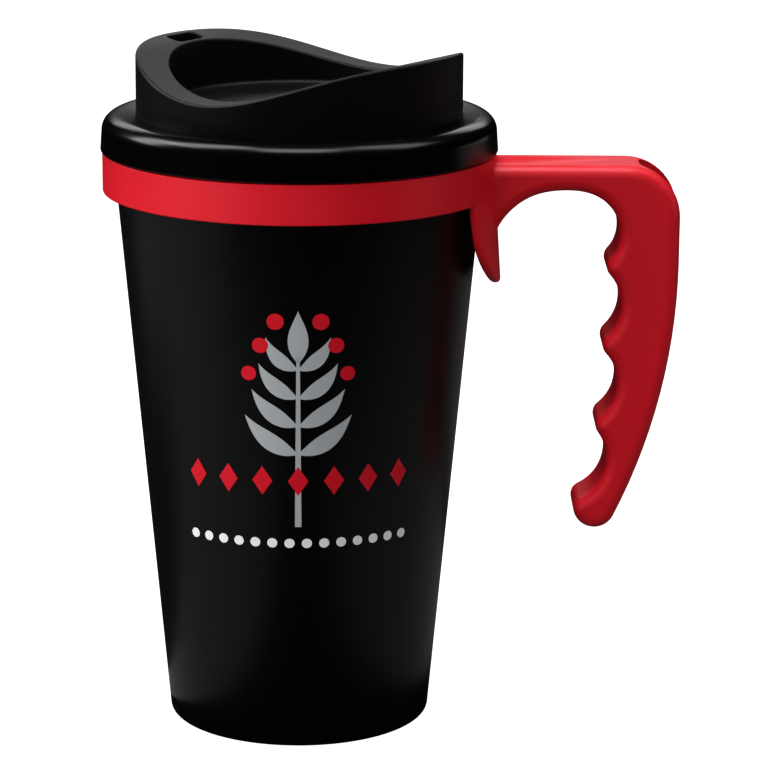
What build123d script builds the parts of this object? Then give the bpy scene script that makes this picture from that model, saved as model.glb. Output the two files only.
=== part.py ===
"""Insulated travel mug: a double-walled cup with a clamped-on grip handle, a screw lid and a
turning drink dome.

The origin is the centre of the base. +Z is up, along the axis of the cup, and the handle
points along +X. All sizes are in millimetres.
"""
from build123d import *
import math
import os

# Cup
BASE_RADIUS = 30.0            # outer radius of the shell where it stands
NECK_STEP_RADIUS = 41.4       # outer radius of the shell at the step below the collar
NECK_STEP_Z = 123.5           # height of that step, which carries the collar
SHELL_WALL = 2.0
BASE_CORNER = 1.6             # outer radius of the corner at the foot
FOOT_WIDTH = 3.2              # width of the flat ring that the cup stands on
FOOT_RECESS = 1.2             # depth of the groove inside that ring
FOOT_SLOPE = 1.0              # run of the sloping sides of that groove
FOOT_PAD_RADIUS = 12.0        # flat pad in the middle of the base, level with the ring
LINER_WALL = 2.0
LINER_FLOOR_Z = 8.2           # height of the inside floor
LINER_FLOOR_INSET = 4.8       # from the outer wall of the base to the corner of the inside floor
LINER_FLOOR_CORNER = 5.0
LIP_HEIGHT = 5.1              # how far the lip of the liner stands over the collar
LIP_WALL = 2.2
LIP_ROUND = 0.7

# Neck and collar
NECK_STEP = 1.0               # width of the ledge under the collar
NECK_THICKENING = 0.2         # how much thinner than the wall the neck is
NECK_BLEND = 3.0              # where the inside of the wall turns into the neck, below the ledge
NECK_BLEND_RISE = 1.5
COLLAR_STANDOFF = 3.2         # how far the collar stands out past the wall
COLLAR_HEIGHT = 9.0
COLLAR_FIT = 0.1              # gap between the collar and what it sits against
FLANGE_THICKNESS = 1.4        # flange of the liner, which holds the collar down
FLANGE_LAND = 1.6             # collar wall left outside the flange
NECK_OVERLAP = 5.0            # length of the liner that is guided inside the shell neck
NECK_FIT = 0.1                # gap between the liner and the neck
SEAL_SECTION = 1.8            # height of the ring that seals the gap between the walls
SEAL_DEPTH = 1.2
SEAL_ROUND = 0.4
KEY_WIDTH = 4.0               # keys that stop the collar turning on the neck
KEY_DEPTH = 0.8
KEY_HEIGHT = 4.0
KEY_GAP = 0.1
EDGE = 0.3                    # small rounding on moulded edges

# Lid
LID_OVERHANG = 0.4            # how far the lower edge of the skirt stands out past the collar
LID_DRAFT = 0.3               # how much the skirt narrows below the shoulder
LID_SHOULDER = 3.8            # radius of the rounded shoulder
LID_GAP = 0.3                 # between the skirt and the collar
LID_WALL = 1.6
LID_ROOF = 3.0                # thickness over the hollow skirt
LIP_RUN = 0.05                # gap between the lip and the gasket
GASKET_THICKNESS = 1.2
GASKET_FIT = 0.1
WEB_THICKNESS = 1.3           # disc that closes the lid under the dome
WELL_DEPTH = 0.5              # depth of the well that the dome turns in
DECK_SLOPE = 6.0              # degrees by which the deck rises from the well out to the shoulder

# Quick thread between the liner and the lid
THREAD_STARTS = 3
THREAD_LEAD = 10.5            # rise in one whole turn
THREAD_DEPTH = 1.1
THREAD_HEIGHT = 1.3
THREAD_TAPER = 0.7            # height at the crest over height at the root
THREAD_SINK = 0.4             # how deep the ridges are sunk in the wall that carries them
THREAD_RUN = 0.4              # gap at the crests
THREAD_START = 0.6            # from the collar up to the lowest ridge
FLANK_GAP = 0.15
RIDGE_ARC = 75.0              # degrees covered by one ridge of the liner
LUG_ARC = 27.0                # degrees covered by one lug of the lid
LUG_MARGIN = 3.0              # degrees of ridge left past a lug that is screwed home

# Drink dome
SIP_ANGLE = 145.6             # direction of the drinking side, in degrees from +X
DECK_LAND = 8.1               # from the widest part of the lid in to the dome
DOME_WALL = 1.8
DOME_FIT = 0.15               # running gap round the foot of the dome
RIM_WIDTH = 7.6               # from the outside of the dome to the hollow in its top
RIM_HEIGHT = 6.3              # rim over the deck, at its two low sides
RIM_ROUND = 0.6
SADDLE_RISE = 8.7             # how much higher the rim is at the drinking side
SADDLE_FULLNESS = 1.87        # how early the rim rises: 1 is a plain parabola
BOWL_WALL = 1.6
BOWL_CORNER = 1.1             # inside radius round the floor of the hollow
SIP_LENGTH = 9.8
SIP_WIDTH = 3.9
SIP_CORNER = 1.2
SIP_INSET = 4.35              # from the outside of the dome to the middle of the drinking slot
SIP_ROUND = 0.4
RIB_MARGIN = 4.0              # degrees from the inlet to the ribs that shut off its channel
VENT_RADIUS = 0.8
VENT_PLACE = 20.0             # from the axis, away from the drinking side
INLET_ARC = 30.0              # degrees covered by the inlet in the lid
DOME_TURN = 75.0              # degrees from open to shut
DOME_SEAL_THICKNESS = 1.3
DOME_SEAL_EDGE = 1.0          # width of soft rim left outside the inlet
SEAL_FIT = 0.1
SEAL_RUN = 0.05               # running gap under the seal of the dome
HUB_RADIUS = 5.0
HUB_WALL = 1.6
HUB_FIT = 0.15
HUB_HOOK = 0.8                # how far the snap fingers reach out under the web
HUB_HOOK_HEIGHT = 1.4
HUB_LEAD_IN = 0.3
HUB_SLIT = 1.4
HUB_SLIT_TOP = 0.6            # how far the slits reach up past the web
STOP_RADIUS = 1.2
STOP_PLACE = 15.0
STOP_GAP = 0.3
STOP_DEPTH = 0.7
STOP_FLOOR = 0.2
JOIN = 0.2                    # overlap of shapes that are one moulding

# Handle. Points are (out from the collar, up from the top of the arm).
ARM_DROP = 2.1                # from the top of the collar down to the top of the arm
HANDLE_REACH = 41.5           # from the collar to the back of the grip
GRIP_WIDTH = 17.0
GRIP_ROUND = 2.6
ARM_CORNER = 12.0
GRIP_BOW_START = 22.4         # below the top of the arm, where the back starts to curve inwards
BALL_POINT = (23.5, -79.8)    # centre of the rounded lower end
BALL_RADIUS = 4.9
BALL_TURN = (-100, -200)      # directions in which the back and the front of the grip leave it
FINGER_TIPS = ((21.6, -59.8), (22.7, -41.5), (23.4, -23.2))
FINGER_HOLLOWS = ((25.9, -69.4), (28.1, -50.7), (28.6, -32.4))
ARCH_POINTS = ((27.9, -17.0), (27.0, -11.5), (23.0, -7.4), (15.3, -5.9), (7.6, -7.5), (2.7, -11.2))
ARCH_FOOT = 18.4              # below the top of the arm, where the arch meets the plate
CUSP_ROUND = 2.9
CORE_WALL = 3.3               # wall left beside the hollow in the back of the grip
CORE_POINTS = ((30.8, 1.6), (32.8, -5.4), (32.6, -32.4), (31.8, -50.4), (29.4, -66.4), (28.4, -73.9),
               (39.4, -80.4), (52.4, 1.6))
CORE_ROUND = 3.2
DISH_RADIUS = 9.0             # shallow trough on top of the arm
DISH_DEPTH = 1.5
DISH_REACH = 25.5             # where it runs out, from the collar

# Plate under the arm. Its outline is (half width, below the collar).
TONGUE_WALL = 1.8
TONGUE_FLARE = 1.35           # how far the plate stands out at its tip
TONGUE_LENGTH = 20.9
TONGUE_TOP = 1.5              # how far the plate is sunk in the collar
TONGUE_OUTLINE = ((20.6, 1.3), (20.3, 4.5), (19.7, 8.2), (18.3, 11.8), (15.2, 15.7), (11.0, 18.6), (5.6, 20.4))
TONGUE_ROUND = 0.75

# Heights and radii that follow
COLLAR_TOP_Z = NECK_STEP_Z + COLLAR_HEIGHT
COLLAR_RADIUS = NECK_STEP_RADIUS + COLLAR_STANDOFF
FLANGE_Z = COLLAR_TOP_Z - COLLAR_FIT - FLANGE_THICKNESS
FLANGE_RADIUS = COLLAR_RADIUS - FLANGE_LAND - COLLAR_FIT
NECK_RADIUS = NECK_STEP_RADIUS - NECK_STEP
NECK_BORE = NECK_RADIUS - SHELL_WALL + NECK_THICKENING
COLLAR_BORE = NECK_RADIUS + COLLAR_FIT
LINER_NECK_RADIUS = NECK_BORE - NECK_FIT
LINER_FLOOR_RADIUS = BASE_RADIUS - LINER_FLOOR_INSET
MOUTH_RADIUS = LINER_NECK_RADIUS - LIP_WALL
LIP_Z = COLLAR_TOP_Z + LIP_HEIGHT
GUIDE_Z = FLANGE_Z - NECK_OVERLAP
LINER_SEAL_Z = GUIDE_Z + (NECK_OVERLAP - SEAL_SECTION) / 2
SHELL_SLOPE = (NECK_STEP_RADIUS - BASE_RADIUS) / NECK_STEP_Z
LINER_SLOPE = (MOUTH_RADIUS - LINER_FLOOR_RADIUS) / (LIP_Z - LINER_FLOOR_Z)
LID_RADIUS = COLLAR_RADIUS + LID_OVERHANG
SKIRT_Z = COLLAR_TOP_Z + LID_GAP
THREAD_BORE = LINER_NECK_RADIUS + THREAD_DEPTH + THREAD_RUN
THREAD_Z = COLLAR_TOP_Z + THREAD_START
GASKET_Z = LIP_Z + LIP_RUN
WEB_Z = GASKET_Z + GASKET_THICKNESS
WEB_TOP_Z = WEB_Z + WEB_THICKNESS
WELL_TOP_Z = WEB_TOP_Z + WELL_DEPTH
DOME_RADIUS = LID_RADIUS - DECK_LAND
WELL_RADIUS = DOME_RADIUS + DOME_FIT
SHOULDER_RADIUS = LID_RADIUS - LID_DRAFT
DECK_CORNER_Z = WELL_TOP_Z + (SHOULDER_RADIUS - WELL_RADIUS) * math.tan(math.radians(DECK_SLOPE))
DECK_Z = DECK_CORNER_Z - LID_SHOULDER * (1 / math.tan(math.radians(90 - DECK_SLOPE) / 2) - 1)
DOME_SEAL_Z = WEB_TOP_Z + SEAL_RUN
BOWL_UNDER_Z = DOME_SEAL_Z + DOME_SEAL_THICKNESS
BOWL_Z = BOWL_UNDER_Z + BOWL_WALL
BOWL_RADIUS = DOME_RADIUS - RIM_WIDTH
SADDLE_LOW_Z = DECK_Z + RIM_HEIGHT
SIP_RADIUS = DOME_RADIUS - SIP_INSET
CHANNEL_INNER = BOWL_RADIUS + BOWL_WALL
CHANNEL_OUTER = DOME_RADIUS - DOME_WALL
DOME_SEAL_RADIUS = CHANNEL_OUTER - SEAL_FIT
ARM_TOP_Z = COLLAR_TOP_Z - ARM_DROP
CORE_WIDTH = GRIP_WIDTH - 2 * CORE_WALL
BEYOND = 5.0                  # how far a cutting shape reaches past what it cuts


def turned(points, corners=()):
    """A solid of revolution from a closed outline of (radius, height) points.

    corners lists (point, radius) pairs, and each rounds the corner nearest to that point.
    """
    face = make_face(Polyline(*points, close=True))
    for point, radius in corners:
        face = fillet(face.vertices().sort_by_distance(point)[0], radius)
    return revolve(Plane.XZ * face, Axis.Z)


def pie(radius_in, radius_out, low, high, centre, arc):
    """A sector of a ring, centred on an angle in degrees."""
    section = Plane.XZ * make_face(
        Polyline((radius_in, low), (radius_out, low), (radius_out, high), (radius_in, high), close=True))
    return Rot(0, 0, centre - arc / 2) * revolve(section, Axis.Z, arc)


def helical_ridge(radius, reach, low, start, arc):
    """One ridge of the thread: a tapered bar that climbs round the axis.

    The bar stands on the radius and reaches outwards, or inwards where reach is negative.
    """
    sunk = -math.copysign(THREAD_SINK, reach)
    half = THREAD_HEIGHT / 2
    crest = half * THREAD_TAPER
    path = Helix(pitch=THREAD_LEAD, height=THREAD_LEAD * arc / 360, radius=radius, center=(0, 0, low + half))
    section_plane = Plane(origin=path @ 0, x_dir=(1, 0, 0), z_dir=path % 0)
    outline = Polyline(
        (sunk, -half),
        (reach, -crest),
        (reach, crest),
        (sunk, half),
        close=True)
    ridge = sweep(section_plane * make_face(outline), path=path, is_frenet=True)
    return Rot(0, 0, start) * ridge


def threads(radius, reach, low, first, arc):
    """The same ridge, once for each start of the thread."""
    step = 360 / THREAD_STARTS
    return [helical_ridge(radius, reach, low, first + step * i, arc) for i in range(THREAD_STARTS)]


def save(node, solid):
    """Write one sub-part under its own name."""
    solid.label = node
    export_step(solid, f"parts/{node}.step")


def make_outer_shell():
    """The black outer wall, with a neck that carries the collar."""
    foot_outer = BASE_RADIUS - BASE_CORNER
    foot_inner = foot_outer - FOOT_WIDTH
    inner_low = FOOT_RECESS + SHELL_WALL
    blend_z = NECK_STEP_Z - NECK_BLEND

    def inside(z):
        return BASE_RADIUS + SHELL_SLOPE * z - SHELL_WALL
    shell = turned([
        (0, 0),
        (FOOT_PAD_RADIUS, 0),
        (FOOT_PAD_RADIUS + FOOT_SLOPE, FOOT_RECESS),
        (foot_inner - FOOT_SLOPE, FOOT_RECESS),
        (foot_inner, 0),
        (BASE_RADIUS, 0),
        (NECK_STEP_RADIUS, NECK_STEP_Z),
        (NECK_RADIUS, NECK_STEP_Z),
        (NECK_RADIUS, FLANGE_Z),
        (NECK_BORE, FLANGE_Z),
        (NECK_BORE, blend_z + NECK_BLEND_RISE),
        (inside(blend_z), blend_z),
        (inside(inner_low), inner_low),
        (0, inner_low),
    ], [((BASE_RADIUS, 0), BASE_CORNER), ((inside(inner_low), inner_low), BASE_CORNER)])
    for key in keys(KEY_GAP, BEYOND):
        shell -= key
    return shell


def keys(gap, reach):
    """The two blocks that lock the collar to the neck, grown by gap and reaching out past the neck."""
    block = Box(KEY_DEPTH + gap + reach, KEY_WIDTH + 2 * gap, KEY_HEIGHT + gap,
                align=(Align.MIN, Align.CENTER, Align.MIN))
    block = Pos(NECK_RADIUS - KEY_DEPTH - gap, 0, NECK_STEP_Z) * block
    return [block, Rot(0, 0, 180) * block]


def make_inner_liner():
    """The inner cup, with the flange over the collar and the threaded lip."""
    def inside(z):
        return MOUTH_RADIUS - LINER_SLOPE * (LIP_Z - z)
    under_z = LINER_FLOOR_Z - LINER_WALL
    groove_radius = LINER_NECK_RADIUS - SEAL_DEPTH
    flange_top_z = FLANGE_Z + FLANGE_THICKNESS
    liner = turned([
        (0, under_z),
        (inside(under_z) + LINER_WALL, under_z),
        (inside(GUIDE_Z - NECK_STEP) + LINER_WALL, GUIDE_Z - NECK_STEP),
        (LINER_NECK_RADIUS, GUIDE_Z),
        (LINER_NECK_RADIUS, LINER_SEAL_Z),
        (groove_radius, LINER_SEAL_Z),
        (groove_radius, LINER_SEAL_Z + SEAL_SECTION),
        (LINER_NECK_RADIUS, LINER_SEAL_Z + SEAL_SECTION),
        (LINER_NECK_RADIUS, FLANGE_Z),
        (FLANGE_RADIUS, FLANGE_Z),
        (FLANGE_RADIUS, flange_top_z),
        (LINER_NECK_RADIUS, flange_top_z),
        (LINER_NECK_RADIUS, LIP_Z),
        (MOUTH_RADIUS, LIP_Z),
        (LINER_FLOOR_RADIUS, LINER_FLOOR_Z),
        (0, LINER_FLOOR_Z),
    ], [
        ((inside(under_z) + LINER_WALL, under_z), LINER_FLOOR_CORNER + LINER_WALL),
        ((LINER_FLOOR_RADIUS, LINER_FLOOR_Z), LINER_FLOOR_CORNER),
        ((LINER_NECK_RADIUS, LIP_Z), LIP_ROUND),
        ((MOUTH_RADIUS, LIP_Z), LIP_ROUND),
        ((FLANGE_RADIUS, flange_top_z), EDGE),
    ])
    return liner + threads(LINER_NECK_RADIUS, THREAD_DEPTH, THREAD_Z, 0, RIDGE_ARC)


def make_liner_seal():
    """The ring that keeps water out of the gap between the two walls."""
    low = LINER_SEAL_Z
    high = low + SEAL_SECTION
    inner = LINER_NECK_RADIUS - SEAL_DEPTH
    return turned([(inner, low), (NECK_BORE, low), (NECK_BORE, high), (inner, high)],
                  [((NECK_BORE, low), SEAL_ROUND), ((NECK_BORE, high), SEAL_ROUND)])


def at_handle(point):
    """A point of the side view of the handle, from its distance out from the collar and up from the arm."""
    return Vector(COLLAR_RADIUS + point[0], ARM_TOP_Z + point[1])


def handle_outline():
    """The side view of the arm and the grip, as a face in the XZ plane."""
    root_x = COLLAR_RADIUS - TONGUE_WALL / 2
    end_x = COLLAR_RADIUS + HANDLE_REACH
    ball = at_handle(BALL_POINT)
    bend = ARM_CORNER * (1 - math.sqrt(0.5))
    bow_z = ARM_TOP_Z - GRIP_BOW_START

    def on_ball(angle):
        return ball + Vector(BALL_RADIUS, 0).rotate(Axis.Z, angle)

    # The back of the grip is an arc that leaves the straight part and meets the ball smoothly.
    across = end_x - ball.X
    down = bow_z - ball.Y
    bow = (across ** 2 + down ** 2 - BALL_RADIUS ** 2) / (2 * (across - BALL_RADIUS))
    bow_centre = Vector(end_x - bow, bow_z)
    bow_turn = math.degrees(math.atan2(ball.Y - bow_centre.Y, ball.X - bow_centre.X))
    bow_middle = bow_centre + Vector(bow, 0).rotate(Axis.Z, bow_turn / 2)

    under, lower = (on_ball(angle) for angle in BALL_TURN)
    outline = [
        Line((root_x, ARM_TOP_Z), (end_x - ARM_CORNER, ARM_TOP_Z)),
        ThreePointArc(
            (end_x - ARM_CORNER, ARM_TOP_Z),
            (end_x - bend, ARM_TOP_Z - bend),
            (end_x, ARM_TOP_Z - ARM_CORNER)),
        Line((end_x, ARM_TOP_Z - ARM_CORNER), (end_x, bow_z)),
        ThreePointArc((end_x, bow_z), bow_middle, on_ball(bow_turn)),
        ThreePointArc(on_ball(bow_turn), under, lower),
    ]
    cusps = [lower]
    for hollow, tip in zip(FINGER_HOLLOWS, FINGER_TIPS):
        outline.append(ThreePointArc(cusps[-1], at_handle(hollow), at_handle(tip)))
        cusps.append(at_handle(tip))
    arch_foot = (root_x, ARM_TOP_Z - ARCH_FOOT)
    outline.append(Spline(cusps[-1], *map(at_handle, ARCH_POINTS), arch_foot))
    outline.append(Line(arch_foot, (root_x, ARM_TOP_Z)))
    face = make_face(outline)
    for cusp in cusps:
        face = fillet(face.vertices().sort_by_distance(cusp)[0], CUSP_ROUND)
    return face


def grip_core():
    """The hollow moulded into the back of the grip, with all its inside corners rounded."""
    outline = make_face(Polyline(*map(at_handle, CORE_POINTS), close=True))
    outline = fillet(outline.vertices(), CORE_ROUND + EDGE)
    core = extrude(Plane.XZ.offset(-CORE_WIDTH / 2) * outline, CORE_WIDTH)
    return fillet(core.edges().filter_by(Plane.XZ), CORE_ROUND)


def arm_dish():
    """The trough on top of the arm: a round bar, tilted so that it runs out of the top."""
    tilt = math.degrees(math.atan2(DISH_DEPTH, DISH_REACH))
    bar = Rot(0, 90, 0) * Cylinder(DISH_RADIUS, 2 * HANDLE_REACH)
    return Pos(COLLAR_RADIUS, 0, ARM_TOP_Z - DISH_DEPTH) * Rot(0, -tilt, 0) * Pos(0, 0, DISH_RADIUS) * bar


def tongue():
    """The plate that hangs from the collar behind the arm, with rounded edges."""
    top_z = NECK_STEP_Z + TONGUE_TOP
    low_z = NECK_STEP_Z - TONGUE_LENGTH - BEYOND

    def outside(z):
        return COLLAR_RADIUS + TONGUE_FLARE * (NECK_STEP_Z - z) / TONGUE_LENGTH
    plate = turned([(outside(top_z) - TONGUE_WALL, top_z), (outside(top_z), top_z),
                    (outside(low_z), low_z), (outside(low_z) - TONGUE_WALL, low_z)])

    right = [(half, NECK_STEP_Z - down) for half, down in TONGUE_OUTLINE]
    left = [(-half, z) for half, z in reversed(right)]
    half = TONGUE_OUTLINE[0][0]
    outline = [
        Line((-half, top_z), (half, top_z)),
        Line((half, top_z), right[0]),
        Spline(*right, (0, NECK_STEP_Z - TONGUE_LENGTH), *left, tangents=[(0, -1), (0, 1)]),
        Line(left[-1], (-half, top_z)),
    ]
    plate &= extrude(Plane.YZ * make_face(outline), 2 * COLLAR_RADIUS)
    rim = plate.edges().filter_by(lambda e: e.center().Z < top_z - EDGE).filter_by(Axis.X, reverse=True)
    return fillet(rim, TONGUE_ROUND)


def make_handle_collar():
    """The red moulding: the collar, the plate under the arm, the arm and the grip."""
    handle = extrude(Plane.XZ.offset(-GRIP_WIDTH / 2) * handle_outline(), GRIP_WIDTH)
    rounded = handle.edges().filter_by(Plane.XZ).filter_by(lambda e: e.center().X > COLLAR_RADIUS)
    handle = fillet(rounded, GRIP_ROUND) - grip_core() - arm_dish()

    land = COLLAR_RADIUS - FLANGE_LAND
    collar = turned([
        (COLLAR_BORE, NECK_STEP_Z),
        (COLLAR_RADIUS, NECK_STEP_Z),
        (COLLAR_RADIUS, COLLAR_TOP_Z),
        (land, COLLAR_TOP_Z),
        (land, FLANGE_Z),
        (COLLAR_BORE, FLANGE_Z),
    ], [((COLLAR_RADIUS, NECK_STEP_Z), EDGE), ((COLLAR_RADIUS, COLLAR_TOP_Z), EDGE)])
    body = collar + tongue() + handle
    for key in keys(0, COLLAR_FIT + JOIN):
        body += key
    return body


def make_lid_ring():
    """The screw ring of the lid, with the web that closes it under the dome."""
    wall_outer = THREAD_BORE + LID_WALL
    roof_z = DECK_Z - LID_ROOF
    ring = turned([
        (0, WEB_Z),
        (THREAD_BORE, WEB_Z),
        (THREAD_BORE, SKIRT_Z),
        (wall_outer, SKIRT_Z),
        (wall_outer, roof_z),
        (SHOULDER_RADIUS - LID_WALL, roof_z),
        (LID_RADIUS - LID_WALL, SKIRT_Z),
        (LID_RADIUS, SKIRT_Z),
        (SHOULDER_RADIUS, DECK_Z - LID_SHOULDER),
        (SHOULDER_RADIUS, DECK_CORNER_Z),
        (WELL_RADIUS, WELL_TOP_Z),
        (WELL_RADIUS, WEB_TOP_Z),
        (0, WEB_TOP_Z),
    ], [
        ((SHOULDER_RADIUS, DECK_CORNER_Z), LID_SHOULDER - JOIN / 4),
        ((SHOULDER_RADIUS - LID_WALL, roof_z), SEAL_ROUND),
        ((LID_RADIUS, SKIRT_Z), EDGE),
    ])
    ring += threads(THREAD_BORE, -THREAD_DEPTH, THREAD_Z + lug_offset_z(), lug_start(), LUG_ARC)
    ring -= standing(HUB_RADIUS + HUB_FIT, WEB_Z - 1, WEB_TOP_Z + 1)
    ring -= pie(CHANNEL_INNER, CHANNEL_OUTER, WEB_Z - 1, WEB_TOP_Z + 1, SIP_ANGLE, INLET_ARC)
    ring -= vent()
    groove_half = STOP_RADIUS + STOP_GAP
    arc_margin = math.degrees(groove_half / STOP_PLACE)
    ring -= pie(STOP_PLACE - groove_half, STOP_PLACE + groove_half, WEB_TOP_Z - STOP_DEPTH, WEB_TOP_Z + 1,
                SIP_ANGLE + DOME_TURN / 2, DOME_TURN + 2 * arc_margin)
    return ring


def lug_start():
    """The angle where the first lug of the lid begins, under the high end of a ridge."""
    return RIDGE_ARC - LUG_ARC - LUG_MARGIN


def lug_offset_z():
    """How far the start of a lug is above the start of a ridge."""
    return THREAD_LEAD * lug_start() / 360 - THREAD_HEIGHT - FLANK_GAP


def vent():
    """The air hole through the dome, its seal and the lid."""
    return Rot(0, 0, SIP_ANGLE) * Pos(-VENT_PLACE, 0, 0) * standing(VENT_RADIUS, WEB_Z - 1, BOWL_Z + 1)


def make_lid_gasket():
    """The flat ring between the lip of the liner and the lid."""
    high = GASKET_Z + GASKET_THICKNESS
    outer = THREAD_BORE - GASKET_FIT
    return turned([(MOUTH_RADIUS, GASKET_Z), (outer, GASKET_Z), (outer, high), (MOUTH_RADIUS, high)],
                  [((MOUTH_RADIUS, GASKET_Z), EDGE)])


def below_saddle(drop):
    """Everything under the saddle surface of the rim, lowered by drop, in the dome's own frame."""
    def height(along):
        share = (along / DOME_RADIUS) ** 2
        return SADDLE_LOW_Z + SADDLE_RISE * (SADDLE_FULLNESS * share - (SADDLE_FULLNESS - 1) * share ** 2) - drop
    reach = DOME_RADIUS * 1.03
    steps = 6
    curve = Spline([(reach * i / steps, height(reach * i / steps)) for i in range(-steps, steps + 1)])
    low = WEB_Z - BEYOND
    sides = Polyline(curve @ 1, (reach, low), (-reach, low), curve @ 0)
    width = 2 * (DOME_RADIUS + BEYOND)
    return extrude(Plane.XZ.offset(-width / 2) * make_face([curve, sides]), width)


def standing(radius, low, high):
    """An upright cylinder on the axis, between two heights."""
    return Pos(0, 0, low) * Cylinder(radius, high - low, align=(Align.CENTER, Align.CENTER, Align.MIN))


def stop_pin_place():
    """Where the stop pin of the dome stands while the drink slot is open."""
    return Rot(0, 0, SIP_ANGLE) * Pos(STOP_PLACE, 0, 0)


def make_drink_dome():
    """The turning top of the lid, with the drinking slot in its raised rim."""
    low = DOME_SEAL_Z
    high = SADDLE_LOW_Z + SADDLE_RISE + BEYOND
    bowl = standing(BOWL_RADIUS, BOWL_Z, high)
    bowl = fillet(bowl.edges().sort_by(Axis.Z)[0], BOWL_CORNER)
    dome = (standing(DOME_RADIUS, low, high) & below_saddle(0)) - bowl
    rim = dome.edges().filter_by(lambda e: e.center().Z > SADDLE_LOW_Z and e.length > BOWL_RADIUS)
    dome = fillet(rim, RIM_ROUND)

    slot = extrude(RectangleRounded(SIP_WIDTH, SIP_LENGTH, SIP_CORNER), high - BOWL_Z)
    dome -= Pos(SIP_RADIUS, 0, BOWL_Z) * slot
    slot_rim = dome.edges().filter_by(Axis.Z, reverse=True).filter_by(
        lambda e: e.center().Z > SADDLE_LOW_Z + SADDLE_RISE / 2
        and abs(e.center().X - SIP_RADIUS) < SIP_WIDTH / 2 + EDGE and abs(e.center().Y) < SIP_LENGTH / 2 + EDGE)
    dome = fillet(slot_rim, SIP_ROUND)

    channel = standing(CHANNEL_OUTER, low - 1, high) - standing(CHANNEL_INNER, low - 1, high)
    dome -= channel & below_saddle(DOME_WALL)
    dome -= standing(CHANNEL_OUTER, low - 1, BOWL_UNDER_Z)
    for side in (-1, 1):
        rib = Box(CHANNEL_OUTER - CHANNEL_INNER + 2 * JOIN, BOWL_WALL, high - BOWL_UNDER_Z,
                  align=(Align.CENTER, Align.CENTER, Align.MIN))
        rib = Pos((CHANNEL_INNER + CHANNEL_OUTER) / 2, 0, BOWL_UNDER_Z) * rib
        dome += (Rot(0, 0, side * (INLET_ARC / 2 + RIB_MARGIN)) * rib) & below_saddle(DOME_WALL / 2)
    dome = Rot(0, 0, SIP_ANGLE) * dome

    hook_top = WEB_Z - SEAL_RUN
    hub_top = BOWL_UNDER_Z + JOIN
    hub = turned([
        (HUB_RADIUS - HUB_WALL, hub_top),
        (HUB_RADIUS - HUB_WALL, hook_top - HUB_HOOK_HEIGHT),
        (HUB_RADIUS, hook_top - HUB_HOOK_HEIGHT),
        (HUB_RADIUS + HUB_HOOK, hook_top - HUB_LEAD_IN),
        (HUB_RADIUS + HUB_HOOK, hook_top),
        (HUB_RADIUS, hook_top),
        (HUB_RADIUS, hub_top),
    ])
    for turn in (0, 90):
        cut = Box(4 * HUB_RADIUS, HUB_SLIT, 4 * HUB_RADIUS, align=(Align.CENTER, Align.CENTER, Align.MAX))
        hub -= Rot(0, 0, turn) * Pos(0, 0, WEB_TOP_Z + HUB_SLIT_TOP) * cut
    pin = stop_pin_place() * standing(STOP_RADIUS, WEB_TOP_Z - STOP_DEPTH + STOP_FLOOR, hub_top)
    return dome + hub + pin - vent()


def make_dome_seal():
    """The soft disc under the dome, which shuts the inlet of the lid when the dome is turned."""
    seal = standing(DOME_SEAL_RADIUS, DOME_SEAL_Z, BOWL_UNDER_Z)
    seal -= standing(HUB_RADIUS + HUB_FIT, DOME_SEAL_Z - 1, BOWL_UNDER_Z + 1)
    seal -= pie(CHANNEL_INNER, DOME_SEAL_RADIUS - DOME_SEAL_EDGE, DOME_SEAL_Z - 1, BOWL_UNDER_Z + 1, SIP_ANGLE, INLET_ARC)
    seal -= stop_pin_place() * standing(STOP_RADIUS + HUB_FIT, DOME_SEAL_Z - 1, BOWL_UNDER_Z + 1)
    return seal - vent()


PARTS = {
    "outer_shell": make_outer_shell,
    "inner_liner": make_inner_liner,
    "liner_seal": make_liner_seal,
    "handle_collar": make_handle_collar,
    "lid_ring": make_lid_ring,
    "lid_gasket": make_lid_gasket,
    "drink_dome": make_drink_dome,
    "dome_seal": make_dome_seal,
}

if __name__ == "__main__":
    os.makedirs("parts", exist_ok=True)
    for name, make in PARTS.items():
        save(name, make())
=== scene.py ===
"""Insulated travel mug: finishes, printed motif, light and camera, laid out as an add-on."""

import math

import bpy
import numpy as np
from mathutils import Euler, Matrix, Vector


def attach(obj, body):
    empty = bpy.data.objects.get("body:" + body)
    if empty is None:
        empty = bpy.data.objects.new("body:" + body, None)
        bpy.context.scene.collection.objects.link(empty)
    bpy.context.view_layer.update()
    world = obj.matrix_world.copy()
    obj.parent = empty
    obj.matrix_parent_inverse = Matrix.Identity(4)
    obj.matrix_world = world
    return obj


bl_info = {
    "name": "Travel Mug Finisher",
    "version": (1, 0, 0),
    "blender": (4, 5, 0),
    "location": "View3D > Sidebar > Travel Mug",
    "description": "Dresses the travel mug: moulded plastics, rubber seals, the print on its wall, the stage",
    "category": "Object",
}

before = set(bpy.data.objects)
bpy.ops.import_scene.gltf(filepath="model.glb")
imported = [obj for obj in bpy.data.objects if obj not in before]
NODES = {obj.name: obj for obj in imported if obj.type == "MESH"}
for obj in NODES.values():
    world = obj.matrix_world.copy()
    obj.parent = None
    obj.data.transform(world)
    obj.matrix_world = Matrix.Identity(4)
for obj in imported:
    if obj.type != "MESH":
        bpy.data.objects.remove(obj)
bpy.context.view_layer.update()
MM = 0.001
NECK_Z = 123.5 * MM
NECK_RADIUS = 41.4 * MM
FOOT_RADIUS = 30.0 * MM


# ---------------------------------------------------------------- settings

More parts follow.
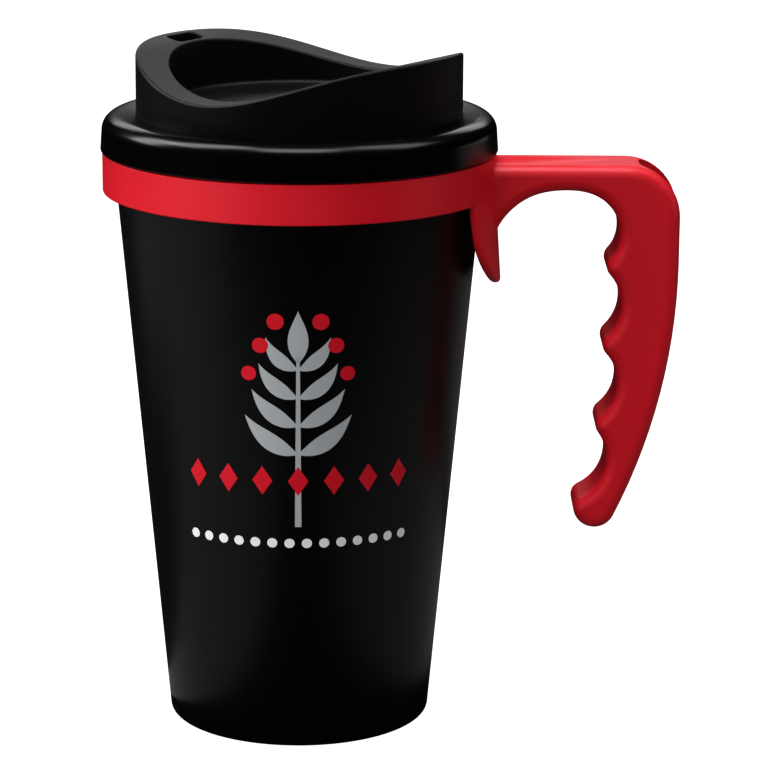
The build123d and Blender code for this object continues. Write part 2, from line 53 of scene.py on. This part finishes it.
class MugFinish(bpy.types.PropertyGroup):
    """Colours and surface of the moulded parts."""
    black: bpy.props.FloatVectorProperty(
        name="Black", description="Colour of the wall, the liner and the lid",
        subtype="COLOR", default=(0.0010, 0.0010, 0.0011), min=0, max=1)
    dome_black: bpy.props.FloatVectorProperty(
        name="Dome black", description="Colour of the grained drink dome",
        subtype="COLOR", default=(0.0026, 0.0023, 0.0023), min=0, max=1)
    red: bpy.props.FloatVectorProperty(
        name="Red", description="Colour of the collar and the handle",
        subtype="COLOR", default=(0.62, 0.013, 0.027), min=0, max=1)
    rubber: bpy.props.FloatVectorProperty(
        name="Rubber", description="Colour of the seals and the gasket",
        subtype="COLOR", default=(0.05, 0.05, 0.052), min=0, max=1)
    wall_roughness: bpy.props.FloatProperty(
        name="Wall roughness", description="Roughness of the satin wall", default=0.38, min=0, max=1)
    lid_roughness: bpy.props.FloatProperty(
        name="Lid roughness", description="Roughness of the smooth lid ring", default=0.24, min=0, max=1)
    dome_roughness: bpy.props.FloatProperty(
        name="Dome roughness", description="Roughness of the grained drink dome", default=0.5, min=0, max=1)
    red_roughness: bpy.props.FloatProperty(
        name="Red roughness", description="Roughness of the collar and the handle", default=0.42,
        min=0, max=1)
    grain_size: bpy.props.FloatProperty(
        name="Grain size", description="Size of one grain on the dome", default=0.4 * MM, unit="LENGTH",
        precision=5)
    grain_depth: bpy.props.FloatProperty(
        name="Grain depth", description="Depth of the grain on the dome", default=0.03 * MM, unit="LENGTH",
        precision=5)


class MugPrint(bpy.types.PropertyGroup):
    """The print on the wall: a berry sprig over two rows of marks."""
    centre: bpy.props.FloatProperty(
        name="Centre", description="Angle of the middle of the print, from -Y towards +X",
        default=math.radians(1.0), subtype="ANGLE")
    low: bpy.props.FloatProperty(
        name="Foot of the sprig", description="Height of the lowest point of the stem",
        default=53.6 * MM, unit="LENGTH")
    high: bpy.props.FloatProperty(
        name="Top of the sprig", description="Height of the tip of the highest leaf",
        default=103.8 * MM, unit="LENGTH")
    row_width: bpy.props.FloatProperty(
        name="Row width", description="Length of the two rows, measured round the wall",
        default=52.6 * MM, unit="LENGTH")
    red_row: bpy.props.FloatProperty(
        name="Red row", description="Height of the middle of the red row", default=64.4 * MM, unit="LENGTH")
    white_row: bpy.props.FloatProperty(
        name="White row", description="Height of the middle of the white row", default=49.7 * MM,
        unit="LENGTH")
    grey: bpy.props.FloatVectorProperty(
        name="Grey ink", description="Colour of the sprig", subtype="COLOR", default=(0.42, 0.44, 0.455),
        min=0, max=1)
    red: bpy.props.FloatVectorProperty(
        name="Red ink", description="Colour of the berries and the upper row", subtype="COLOR",
        default=(0.62, 0.012, 0.028), min=0, max=1)
    white: bpy.props.FloatVectorProperty(
        name="White ink", description="Colour of the lower row", subtype="COLOR", default=(0.85, 0.86, 0.87),
        min=0, max=1)
    thickness: bpy.props.FloatProperty(
        name="Ink thickness", description="How far the ink stands off the wall", default=0.04 * MM,
        unit="LENGTH", precision=5)


class MugStage(bpy.types.PropertyGroup):
    """Floor, lights and camera."""
    distance: bpy.props.FloatProperty(
        name="Camera distance", description="From the axis of the mug to the camera, along Y",
        default=0.7603, unit="LENGTH")
    height: bpy.props.FloatProperty(
        name="Camera height", description="Height of the camera over the floor", default=0.26627,
        unit="LENGTH")
    aside: bpy.props.FloatProperty(
        name="Camera offset", description="How far the camera stands towards the handle", default=0.019355,
        unit="LENGTH", precision=4)
    pitch: bpy.props.FloatProperty(
        name="Camera pitch", description="How far the camera looks down", default=0.2427, subtype="ANGLE")
    roll: bpy.props.FloatProperty(
        name="Camera roll", description="Turn of the camera about its own line of sight", default=0.0064,
        subtype="ANGLE")
    lens: bpy.props.FloatProperty(
        name="Lens", description="Focal length on a 36 mm sensor, in millimetres", default=159.58)
    power: bpy.props.FloatProperty(
        name="Power", description="Scales all the lights together", default=1.0, min=0)
    light_distance: bpy.props.FloatProperty(
        name="Light distance", description="From the middle of the mug to each soft light", default=0.8,
        unit="LENGTH")


# ---------------------------------------------------------------- shader groups

def new_group(name, inputs, outputs):
    """A shader node group with float inputs (name, default) and outputs (name, socket type)."""
    group = bpy.data.node_groups.new(name, "ShaderNodeTree")
    for label, default in inputs:
        socket = group.interface.new_socket(label, in_out="INPUT", socket_type="NodeSocketFloat")
        socket.default_value = default
    for label, kind in outputs:
        group.interface.new_socket(label, in_out="OUTPUT", socket_type=kind)
    return group, group.nodes.new("NodeGroupInput"), group.nodes.new("NodeGroupOutput")


def maths(tree, operation, first, second):
    """One Math node. Each operand is a socket or a number."""
    node = tree.nodes.new("ShaderNodeMath")
    node.operation = operation
    for slot, value in enumerate((first, second)):
        if isinstance(value, (int, float)):
            node.inputs[slot].default_value = value
        else:
            tree.links.new(value, node.inputs[slot])
    return node.outputs[0]


def grain_group():
    """Spark-eroded mould grain: fine rounded pits over a softer, wider unevenness.

    Fleck is the fine noise plus the wide one at its weight, over the sum of the weights: low in
    the pits and high on the crests. Height is fleck times depth, in metres.
    """
    wide_scale, wide_weight = 0.22, 0.5
    group, given, result = new_group(
        "moulded_grain",
        [("Grain size", 0.0004), ("Depth", 0.00002)],
        [("Height", "NodeSocketFloat"), ("Fleck", "NodeSocketFloat")])
    place = group.nodes.new("ShaderNodeTexCoord")
    fine = group.nodes.new("ShaderNodeTexNoise")
    fine.inputs["Detail"].default_value = 3.0
    fine.inputs["Roughness"].default_value = 0.6
    wide = group.nodes.new("ShaderNodeTexNoise")
    wide.inputs["Detail"].default_value = 1.0
    scale = maths(group, "DIVIDE", 1.0, given.outputs["Grain size"])
    group.links.new(scale, fine.inputs["Scale"])
    group.links.new(maths(group, "MULTIPLY", scale, wide_scale), wide.inputs["Scale"])
    for noise in (fine, wide):
        group.links.new(place.outputs["Object"], noise.inputs["Vector"])
    weighed = maths(group, "MULTIPLY", wide.outputs["Fac"], wide_weight)
    fleck = maths(group, "DIVIDE", maths(group, "ADD", fine.outputs["Fac"], weighed), 1 + wide_weight)
    group.links.new(fleck, result.inputs["Fleck"])
    group.links.new(maths(group, "MULTIPLY", fleck, given.outputs["Depth"]), result.inputs["Height"])
    return group


def haze_group():
    """Slow drift of gloss over a moulding, from how the plastic flowed and from handling.

    Value runs from Low to High as the noise goes from the bottom to the top of its usual range.
    """
    usual_low, usual_high = 0.35, 0.65
    group, given, result = new_group(
        "handling_haze", [("Size", 0.03), ("Low", 0.3), ("High", 0.4)], [("Value", "NodeSocketFloat")])
    place = group.nodes.new("ShaderNodeTexCoord")
    noise = group.nodes.new("ShaderNodeTexNoise")
    noise.inputs["Detail"].default_value = 4.0
    noise.inputs["Distortion"].default_value = 0.4
    group.links.new(place.outputs["Object"], noise.inputs["Vector"])
    group.links.new(maths(group, "DIVIDE", 1.0, given.outputs["Size"]), noise.inputs["Scale"])
    spread = group.nodes.new("ShaderNodeMapRange")
    spread.inputs["From Min"].default_value = usual_low
    spread.inputs["From Max"].default_value = usual_high
    group.links.new(noise.outputs["Fac"], spread.inputs["Value"])
    group.links.new(given.outputs["Low"], spread.inputs["To Min"])
    group.links.new(given.outputs["High"], spread.inputs["To Max"])
    group.links.new(spread.outputs["Result"], result.inputs["Value"])
    return group


def shared(name, build):
    """The node group of that name, built the first time it is asked for."""
    return bpy.data.node_groups.get(name) or build()


# ---------------------------------------------------------------- materials

def plain_material(name, colour):
    """A node material whose Principled shader carries only a base colour, and that shader."""
    material = bpy.data.materials.new(name)
    material.use_nodes = True
    shader = material.node_tree.nodes["Principled BSDF"]
    shader.inputs["Base Color"].default_value = (*colour, 1.0)
    return material, shader


def moulded_plastic(name, colour, roughness, spread, grain_size, grain_depth, fleck=0.0, specular=0.5):
    """Injection-moulded plastic: colour flecked by its grain, drifting gloss and a grain bump."""
    material, shader = plain_material(name, colour)
    tree = material.node_tree
    shader.inputs["Specular IOR Level"].default_value = specular
    grain = tree.nodes.new("ShaderNodeGroup")
    grain.node_tree = shared("moulded_grain", grain_group)
    grain.inputs["Grain size"].default_value = grain_size
    grain.inputs["Depth"].default_value = grain_depth
    haze = tree.nodes.new("ShaderNodeGroup")
    haze.node_tree = shared("handling_haze", haze_group)
    haze.inputs["Low"].default_value = roughness - spread
    haze.inputs["High"].default_value = roughness + spread
    tree.links.new(haze.outputs["Value"], shader.inputs["Roughness"])
    bump = tree.nodes.new("ShaderNodeBump")
    bump.inputs["Distance"].default_value = 1.0
    tree.links.new(grain.outputs["Height"], bump.inputs["Height"])
    tree.links.new(bump.outputs["Normal"], shader.inputs["Normal"])
    if fleck:
        tint = tree.nodes.new("ShaderNodeMix")
        tint.data_type = "RGBA"
        tint.inputs["A"].default_value = (*(c * (1 - fleck) for c in colour), 1.0)
        tint.inputs["B"].default_value = (*(min(1.0, c * (1 + fleck)) for c in colour), 1.0)
        tree.links.new(grain.outputs["Fleck"], tint.inputs["Factor"])
        tree.links.new(tint.outputs["Result"], shader.inputs["Base Color"])
    return material


def printed_ink(name, colour, fleck):
    """Screen-printed ink: a satin film with a faint grain."""
    return moulded_plastic(name, colour, roughness=0.5, spread=0.02, grain_size=0.3 * MM,
                           grain_depth=0.003 * MM, fleck=fleck)


def dress(node, material):
    """Puts one material on a CAD node."""
    mesh = NODES[node].data
    mesh.materials.clear()
    mesh.materials.append(material)


# ---------------------------------------------------------------- print

def wall_radius(z):
    """Outer radius of the wall at a height: a straight taper from the foot to the neck."""
    return FOOT_RADIUS + (NECK_RADIUS - FOOT_RADIUS) * z / NECK_Z


def patch(spine, half_width, centre, thickness, along=28, across=9):
    """Vertices and faces of one printed shape, laid on the tapered wall.

    The shape runs along a spine. spine(s) gives the distance round the wall and the height for s
    from 0 to 1, and half_width(s) its half width. Each point is the spine's point plus t times
    the half width along the spine's normal, t from -1 to 1. It is then wrapped: its distance
    round the wall over the wall's radius there is its angle.
    """
    s = np.linspace(0, 1, along)
    t = np.linspace(-1, 1, across)
    round_wall, height = spine(s)
    step_round, step_height = np.gradient(round_wall, s), np.gradient(height, s)
    length = np.hypot(step_round, step_height)
    normal_round, normal_height = step_height / length, -step_round / length
    width = half_width(s)
    u = round_wall[:, None] + t[None, :] * (width * normal_round)[:, None]
    z = height[:, None] + t[None, :] * (width * normal_height)[:, None]
    radius = wall_radius(z)
    angle = centre + u / radius
    radius = radius + thickness
    points = np.stack([radius * np.sin(angle), -radius * np.cos(angle), z], axis=-1).reshape(-1, 3)
    row, column = np.meshgrid(np.arange(along - 1), np.arange(across - 1), indexing="ij")
    corner = (row * across + column).ravel()
    faces = np.stack([corner, corner + 1, corner + across + 1, corner + across], axis=-1)
    return points, faces


def join_patches(patches):
    """One vertex array and one face array out of several."""
    points, faces, offset = [], [], 0
    for some_points, some_faces in patches:
        points.append(some_points)
        faces.append(some_faces + offset)
        offset += len(some_points)
    return np.concatenate(points), np.concatenate(faces)


def printed_piece(name, patches, material):
    """A mesh of ink on the wall that rides with the cup.

    A face whose normal points towards the axis has its corners put in reverse order, so that
    every face looks outwards.
    """
    points, faces = join_patches(patches)
    a, b, c = (points[faces[:, i]] for i in range(3))
    outwards = a * (1, 1, 0)
    inward = (np.cross(b - a, c - a) * outwards).sum(axis=1) < 0
    faces[inward] = faces[inward][:, ::-1]
    mesh = bpy.data.meshes.new(name)
    mesh.from_pydata(points.tolist(), [], faces.tolist())
    mesh.polygons.foreach_set("use_smooth", np.ones(len(mesh.polygons), bool))
    mesh.materials.append(material)
    mesh.update()
    piece = bpy.data.objects.new(name, mesh)
    bpy.context.scene.collection.objects.link(piece)
    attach(piece, "vessel")
    return piece


def straight(start, end):
    """A straight spine between two points."""
    return lambda s: (start[0] + (end[0] - start[0]) * s, start[1] + (end[1] - start[1]) * s)


def bent(start, end, bow):
    """A spine bowed sideways by a parabola, bow at its middle."""
    along = np.subtract(end, start)
    side = np.array([-along[1], along[0]]) / np.hypot(*along)

    def spine(s):
        swell = 4 * bow * s * (1 - s)
        return start[0] + along[0] * s + side[0] * swell, start[1] + along[1] * s + side[1] * swell
    return spine


# Least half width of a shape in metres, so that no face shrinks to nothing.
SLIVER = 1e-6


def leaf_width(width):
    """Half width of a leaf: the sine of half a turn times s to the power lean, to the power taper.

    A lean under 1 brings the widest point nearer the foot, and a taper over 1 sharpens the ends.
    """
    lean, taper = 0.8, 1.1
    return lambda s: width * np.sin(np.pi * s ** lean) ** taper + SLIVER


def round_width(radius):
    """Half width of a disc: the radius times the root of 1 minus the square of 2 s - 1."""
    least = 1e-6
    return lambda s: radius * np.sqrt(np.clip(1 - (2 * s - 1) ** 2, least, 1))


def diamond_width(width):
    """Half width of a lozenge: rises and falls in straight lines."""
    return lambda s: width * (1 - np.abs(2 * s - 1)) + SLIVER


# The sprig. Heights are shares of its span, and each pair of leaves is smaller than the one below.
STEM_TOP = 0.80
STEM_FOOT_HALF, STEM_TOP_HALF = 0.75 * MM, 0.40 * MM
LEAF_PAIRS = 4
FIRST_PAIR, PAIR_STEP = 0.34, 0.13
LEAF_REACH, REACH_LOSS = 12.0 * MM, 1.6 * MM
LEAF_RISE, RISE_LOSS = 9.0 * MM, 0.5 * MM
LEAF_HALF, HALF_LOSS = 2.0 * MM, 0.12 * MM
LEAF_BOW = 1.4 * MM
TIP_LEAF, TIP_LEAF_HALF = 0.24, 2.3 * MM
# Each pair of berries: distance from the stem, and height as a share of the span.
BERRY_PAIRS = ((5.0 * MM, 0.95), (8.4 * MM, 0.84), (11.0 * MM, 0.71))
BERRY_RADIUS, BERRY_LOSS = 1.9 * MM, 0.1 * MM
# The rows: how many marks, and half the height and width of one.
LOZENGES, LOZENGE_HALF_HEIGHT, LOZENGE_HALF_WIDTH = 7, 3.4 * MM, 2.3 * MM
DOTS, DOT_RADIUS = 14, 1.15 * MM


def sprig(look):
    """Grey stem with paired leaves and one leaf at its tip."""
    foot, top = look.low, look.high
    span = top - foot

    def stem_width(s):
        return STEM_FOOT_HALF + (STEM_TOP_HALF - STEM_FOOT_HALF) * s

    parts = [patch(straight((0, foot), (0, foot + STEM_TOP * span)), stem_width, look.centre, look.thickness,
                   along=40, across=5)]
    for i in range(LEAF_PAIRS):
        base = foot + span * (FIRST_PAIR + PAIR_STEP * i)
        reach, rise = LEAF_REACH - REACH_LOSS * i, LEAF_RISE - RISE_LOSS * i
        for side in (-1, 1):
            parts.append(patch(bent((0, base), (side * reach, base + rise), -side * LEAF_BOW),
                               leaf_width(LEAF_HALF - HALF_LOSS * i), look.centre, look.thickness))
    parts.append(patch(straight((0, top - TIP_LEAF * span), (0, top)), leaf_width(TIP_LEAF_HALF), look.centre,
                       look.thickness))
    return parts


def berries(look, thickness):
    """Red berries over the upper leaves, each pair smaller than the one above."""
    span = look.high - look.low
    found = []
    for i, (out, share) in enumerate(BERRY_PAIRS):
        radius = BERRY_RADIUS - BERRY_LOSS * i
        height = look.low + share * span
        for side in (-1, 1):
            spine = straight((side * out, height - radius), (side * out, height + radius))
            found.append(patch(spine, round_width(radius), look.centre, thickness, along=17, across=17))
    return found


def row_of(count, height, mark_height, mark_width, form, look, thickness):
    """A row of equal marks, evenly spaced over the row width. Mark sizes are halves."""
    reach = look.row_width / 2 - mark_width
    marks = []
    for place in np.linspace(-reach, reach, count):
        spine = straight((place, height - mark_height), (place, height + mark_height))
        marks.append(patch(spine, form(mark_width), look.centre, thickness, along=17))
    return marks


# ---------------------------------------------------------------- operators

class MUG_OT_dress_cup(bpy.types.Operator):
    """Gives the wall and the liner their finishes"""
    bl_idname = "mug.dress_cup"
    bl_label = "Dress the cup"

    def execute(self, context):
        look = context.scene.mug_finish
        dress("outer_shell", moulded_plastic(
            "wall_plastic", look.black, look.wall_roughness, spread=0.02, grain_size=0.6 * MM,
            grain_depth=0.004 * MM))
        dress("inner_liner", moulded_plastic(
            "liner_plastic", look.black, look.wall_roughness + 0.05, spread=0.03, grain_size=0.5 * MM,
            grain_depth=0.004 * MM))
        return {"FINISHED"}


class MUG_OT_dress_handle(bpy.types.Operator):
    """Gives the collar and the handle their red plastic"""
    bl_idname = "mug.dress_handle"
    bl_label = "Dress the handle"

    def execute(self, context):
        look = context.scene.mug_finish
        dress("handle_collar", moulded_plastic(
            "red_plastic", look.red, look.red_roughness, spread=0.03, grain_size=0.5 * MM,
            grain_depth=0.008 * MM, fleck=0.03))
        return {"FINISHED"}


class MUG_OT_dress_lid(bpy.types.Operator):
    """Gives the lid ring its satin plastic and the dome its grain"""
    bl_idname = "mug.dress_lid"
    bl_label = "Dress the lid"

    def execute(self, context):
        look = context.scene.mug_finish
        dress("lid_ring", moulded_plastic(
            "lid_plastic", look.black, look.lid_roughness, spread=0.02, grain_size=0.5 * MM,
            grain_depth=0.005 * MM))
        dress("drink_dome", moulded_plastic(
            "dome_plastic", look.dome_black, look.dome_roughness, spread=0.03, grain_size=look.grain_size,
            grain_depth=look.grain_depth, fleck=0.25))
        return {"FINISHED"}


class MUG_OT_dress_seals(bpy.types.Operator):
    """Gives the gasket and the seals their rubber"""
    bl_idname = "mug.dress_seals"
    bl_label = "Dress the seals"

    def execute(self, context):
        look = context.scene.mug_finish
        rubber = moulded_plastic(
            "seal_rubber", look.rubber, roughness=0.68, spread=0.05, grain_size=0.3 * MM,
            grain_depth=0.01 * MM, fleck=0.2, specular=0.35)
        for node in ("liner_seal", "lid_gasket", "dome_seal"):
            dress(node, rubber)
        return {"FINISHED"}


class MUG_OT_print_wall(bpy.types.Operator):
    """Prints the berry sprig and the two rows of marks on the wall"""
    bl_idname = "mug.print_wall"
    bl_label = "Print the wall"

    def execute(self, context):
        look = context.scene.mug_print
        grey = printed_ink("grey_ink", look.grey, fleck=0.04)
        red = printed_ink("red_ink", look.red, fleck=0.04)
        white = printed_ink("white_ink", look.white, fleck=0.03)
        second_pass = look.thickness * 1.5
        printed_piece("print_sprig", sprig(look), grey)
        printed_piece("print_berries", berries(look, second_pass), red)
        lozenges = row_of(LOZENGES, look.red_row, LOZENGE_HALF_HEIGHT, LOZENGE_HALF_WIDTH, diamond_width,
                          look, second_pass)
        printed_piece("print_red_row", lozenges, red)
        dots = row_of(DOTS, look.white_row, DOT_RADIUS, DOT_RADIUS, round_width, look, second_pass)
        printed_piece("print_white_row", dots, white)
        return {"FINISHED"}


class MUG_OT_build_stage(bpy.types.Operator):
    """Makes the pale floor, the soft lights and the camera"""
    bl_idname = "mug.build_stage"
    bl_label = "Build the stage"

    def execute(self, context):
        look = context.scene.mug_stage
        make_world(context.scene)
        make_floor(context.scene)
        make_lights(look)
        camera = bpy.data.cameras.new("camera")
        camera.lens = look.lens
        camera.sensor_width = 36.0
        camera.clip_end = 20.0
        seat = bpy.data.objects.new("camera", camera)
        seat.location = (look.aside, -look.distance, look.height)
        aim = Euler((math.pi / 2 - look.pitch, 0, 0)).to_quaternion()
        seat.rotation_mode = "QUATERNION"
        seat.rotation_quaternion = aim @ Euler((0, 0, look.roll)).to_quaternion()
        context.scene.collection.objects.link(seat)
        context.scene.camera = seat
        context.scene.view_settings.view_transform = "Standard"
        context.scene.view_settings.look = "Medium High Contrast"
        return {"FINISHED"}


def make_world(scene):
    """White as the backdrop, and dim as a source of light."""
    backdrop_strength, light_strength = 1.0, 0.004
    world = bpy.data.worlds.new("studio")
    world.use_nodes = True
    tree = world.node_tree
    tree.nodes.clear()
    seen = tree.nodes.new("ShaderNodeBackground")
    seen.inputs["Strength"].default_value = backdrop_strength
    cast = tree.nodes.new("ShaderNodeBackground")
    cast.inputs["Strength"].default_value = light_strength
    path = tree.nodes.new("ShaderNodeLightPath")
    pick = tree.nodes.new("ShaderNodeMixShader")
    out = tree.nodes.new("ShaderNodeOutputWorld")
    for node in (seen, cast):
        node.inputs["Color"].default_value = (1, 1, 1, 1)
    tree.links.new(path.outputs["Is Camera Ray"], pick.inputs["Fac"])
    tree.links.new(cast.outputs[0], pick.inputs[1])
    tree.links.new(seen.outputs[0], pick.inputs[2])
    tree.links.new(pick.outputs[0], out.inputs["Surface"])
    scene.world = world


# The floor: half its side, how far it lies under the mug, and its painted shade: a painted shadow
# round the mug, where the floor's glow is dimmed, running out between two distances from the axis.
FLOOR_HALF = 3.0
FLOOR_DROP = 0.2 * MM
PAINTED_SHADE_START, PAINTED_SHADE_END = 30 * MM, 160 * MM
PAINTED_SHADE_NEAR, PAINTED_SHADE_FAR = 0.9, 1.0


def make_floor(scene):
    """A wide white floor with a faint painted shadow round the mug, its glow dimmed there, which the gloss of
    the mug sees as dark.
    """
    side = FLOOR_HALF
    mesh = bpy.data.meshes.new("floor")
    corners = [(-side, -side, 0), (side, -side, 0), (side, side, 0), (-side, side, 0)]
    mesh.from_pydata(corners, [], [(0, 1, 2, 3)])
    material, shader = plain_material("floor_paper", (0.2, 0.2, 0.2))
    tree = material.node_tree
    shader.inputs["Roughness"].default_value = 0.9
    shader.inputs["Specular IOR Level"].default_value = 0.0
    shader.inputs["Emission Color"].default_value = (1, 1, 1, 1)
    place = tree.nodes.new("ShaderNodeTexCoord")
    away = tree.nodes.new("ShaderNodeVectorMath")
    away.operation = "LENGTH"
    tree.links.new(place.outputs["Object"], away.inputs[0])
    # Painted shadow round the mug: the floor's glow is dimmed near the axis and brightens outwards to full
    # white.
    painted_shadow_fade = tree.nodes.new("ShaderNodeMapRange")
    painted_shadow_fade.interpolation_type = "SMOOTHSTEP"
    for name, value in (("From Min", PAINTED_SHADE_START), ("From Max", PAINTED_SHADE_END), ("To Min", PAINTED_SHADE_NEAR),
                        ("To Max", PAINTED_SHADE_FAR)):
        painted_shadow_fade.inputs[name].default_value = value
    tree.links.new(away.outputs["Value"], painted_shadow_fade.inputs["Value"])
    tree.links.new(painted_shadow_fade.outputs["Result"], shader.inputs["Emission Strength"])
    dark = tree.nodes.new("ShaderNodeBsdfDiffuse")
    dark.inputs["Color"].default_value = (0.02, 0.02, 0.02, 1)
    path = tree.nodes.new("ShaderNodeLightPath")
    pick = tree.nodes.new("ShaderNodeMixShader")
    tree.links.new(path.outputs["Is Camera Ray"], pick.inputs["Fac"])
    tree.links.new(dark.outputs[0], pick.inputs[1])
    tree.links.new(shader.outputs[0], pick.inputs[2])
    tree.links.new(pick.outputs[0], tree.nodes["Material Output"].inputs["Surface"])
    mesh.materials.append(material)
    floor = bpy.data.objects.new("floor", mesh)
    floor.location.z = -FLOOR_DROP
    scene.collection.objects.link(floor)


# Where the lights aim, and how high the cards lie over the floor.
AIM_HEIGHT = 90 * MM
CARD_LIFT = 4 * MM
# Soft boxes that light colour: name, azimuth from -Y towards +X, elevation, width, height, watts.
COLOUR_LIGHTS = (
    ("key", -70, 5, 0.35, 0.80, 6.2),
    ("key_front", -35, 5, 0.35, 0.80, 2.5),
    ("front", 5, 5, 0.35, 0.80, 1.0),
    ("fill", 75, 5, 0.35, 0.80, 2.0),
    ("over", 0, 90, 0.45, 0.45, 6.2),
    ("over_front", 0, 50, 0.35, 0.35, 0.8),
)
# Boxes and strips that only show in the gloss, laid out the same way.
GLOSS_LIGHTS = (
    ("sheen_left", -90, 60, 0.30, 0.45, 1.8),
    ("sheen_low_left", -105, 35, 0.30, 0.40, 1.6),
    ("sheen_front", 0, 72, 0.40, 0.30, 1.5),
    ("sheen_right", 90, 60, 0.30, 0.45, 1.0),
    ("sheen_back", 180, 29, 0.80, 0.25, 0.90),
    ("dome_strip", 120, 1, 0.50, 0.12, 0.06),
)
# Bright cards over the floor, facing up, that also only show in the gloss: name, x, y, width,
# depth, watts.
FLOOR_CARDS = (
    ("card_left", -0.19, -0.10, 0.32, 0.22, 0.058),
    ("card_right", 0.20, -0.03, 0.32, 0.26, 0.045),
    ("card_far", 0.20, 0.30, 0.30, 0.30, 0.045),
    ("card_collar", -0.38, -0.08, 0.14, 0.60, 0.18),
)


def make_lights(look):
    """The soft lights. Those for colour aren't seen in the gloss, and the other way round."""
    middle = Vector((0, 0, AIM_HEIGHT))
    for lights, colour in ((COLOUR_LIGHTS, True), (GLOSS_LIGHTS, False)):
        for name, azimuth, elevation, width, height, power in lights:
            turn, rise = math.radians(azimuth), math.radians(elevation)
            away = Vector((math.sin(turn) * math.cos(rise), -math.cos(turn) * math.cos(rise), math.sin(rise)))
            light = add_light(name, middle + away * look.light_distance, middle, (width, height),
                              power * look.power)
            light.visible_diffuse, light.visible_glossy = colour, not colour
    for name, x, y, width, depth, power in FLOOR_CARDS:
        place = Vector((x, y, CARD_LIFT))
        card = add_light(name, place, place + Vector((0, 0, 1)), (width, depth), power * look.power)
        card.visible_diffuse = False


def add_light(name, place, target, size, power):
    """A rectangular area light at a place, aimed at a target and unseen by the camera."""
    light = bpy.data.lights.new(name, "AREA")
    light.shape = "RECTANGLE"
    light.size, light.size_y = size
    light.energy = power
    holder = bpy.data.objects.new(name, light)
    holder.location = place
    holder.rotation_euler = (target - place).to_track_quat("-Z", "Y").to_euler()
    holder.visible_camera = False
    bpy.context.scene.collection.objects.link(holder)
    return holder


class MUG_PT_sidebar(bpy.types.Panel):
    """The mug's operators and settings in the sidebar"""
    bl_label = "Travel Mug"
    bl_idname = "MUG_PT_sidebar"
    bl_space_type = "VIEW_3D"
    bl_region_type = "UI"
    bl_category = "Travel Mug"

    def draw(self, context):
        layout = self.layout
        for operator in OPERATORS:
            layout.operator(operator.bl_idname)
        for settings in (context.scene.mug_finish, context.scene.mug_print, context.scene.mug_stage):
            box = layout.box()
            for name in settings.__annotations__:
                box.prop(settings, name)


OPERATORS = (MUG_OT_dress_cup, MUG_OT_dress_handle, MUG_OT_dress_lid, MUG_OT_dress_seals, MUG_OT_print_wall,
             MUG_OT_build_stage)
SETTINGS = {"mug_finish": MugFinish, "mug_print": MugPrint, "mug_stage": MugStage}


def register():
    for settings in SETTINGS.values():
        bpy.utils.register_class(settings)
    for name, settings in SETTINGS.items():
        setattr(bpy.types.Scene, name, bpy.props.PointerProperty(type=settings))
    for operator in OPERATORS:
        bpy.utils.register_class(operator)
    bpy.utils.register_class(MUG_PT_sidebar)


def unregister():
    bpy.utils.unregister_class(MUG_PT_sidebar)
    for operator in reversed(OPERATORS):
        bpy.utils.unregister_class(operator)
    for name in SETTINGS:
        delattr(bpy.types.Scene, name)
    for settings in SETTINGS.values():
        bpy.utils.unregister_class(settings)


def main():
    """Registers the add-on and runs every operator in order."""
    register()
    for operator in OPERATORS:
        group, name = operator.bl_idname.split(".")
        getattr(getattr(bpy.ops, group), name)()


if __name__ == "__main__":
    main()
